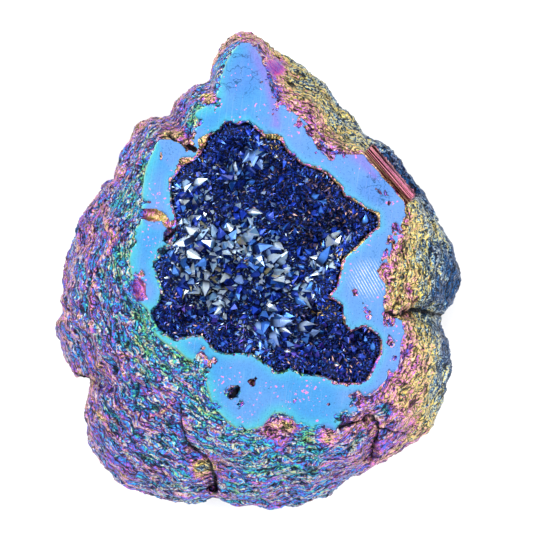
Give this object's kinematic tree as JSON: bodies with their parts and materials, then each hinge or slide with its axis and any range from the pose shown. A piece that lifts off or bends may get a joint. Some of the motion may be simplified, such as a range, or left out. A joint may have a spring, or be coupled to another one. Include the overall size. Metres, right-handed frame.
{
  "type": "aura-coated quartz geode half",
  "caption": "Half of a sawn and polished geode with a metal aura coating, its hollow lined with small quartz crystals, lying on its rounded back with the sawn face up.",
  "frame": {"origin": "centre of the part's box on the surface it lies on", "axes": "+Z out of the sawn face, +Y along the stone's length towards its narrow end, +X to its right seen from above"},
  "size_m": [0.094, 0.1098, 0.046],
  "materials": {
    "aura_rind": "iridescent metal-oxide film, satin on the sawn face and rough on the rind",
    "aura_crystal": "iridescent metal-oxide film on glossy crystal faces, deep blue with silver glints"
  },
  "bodies": {
    "root": {"geode_shell": "aura_rind", "crystal_crust": "aura_crystal"}
  },
  "joints": []
}
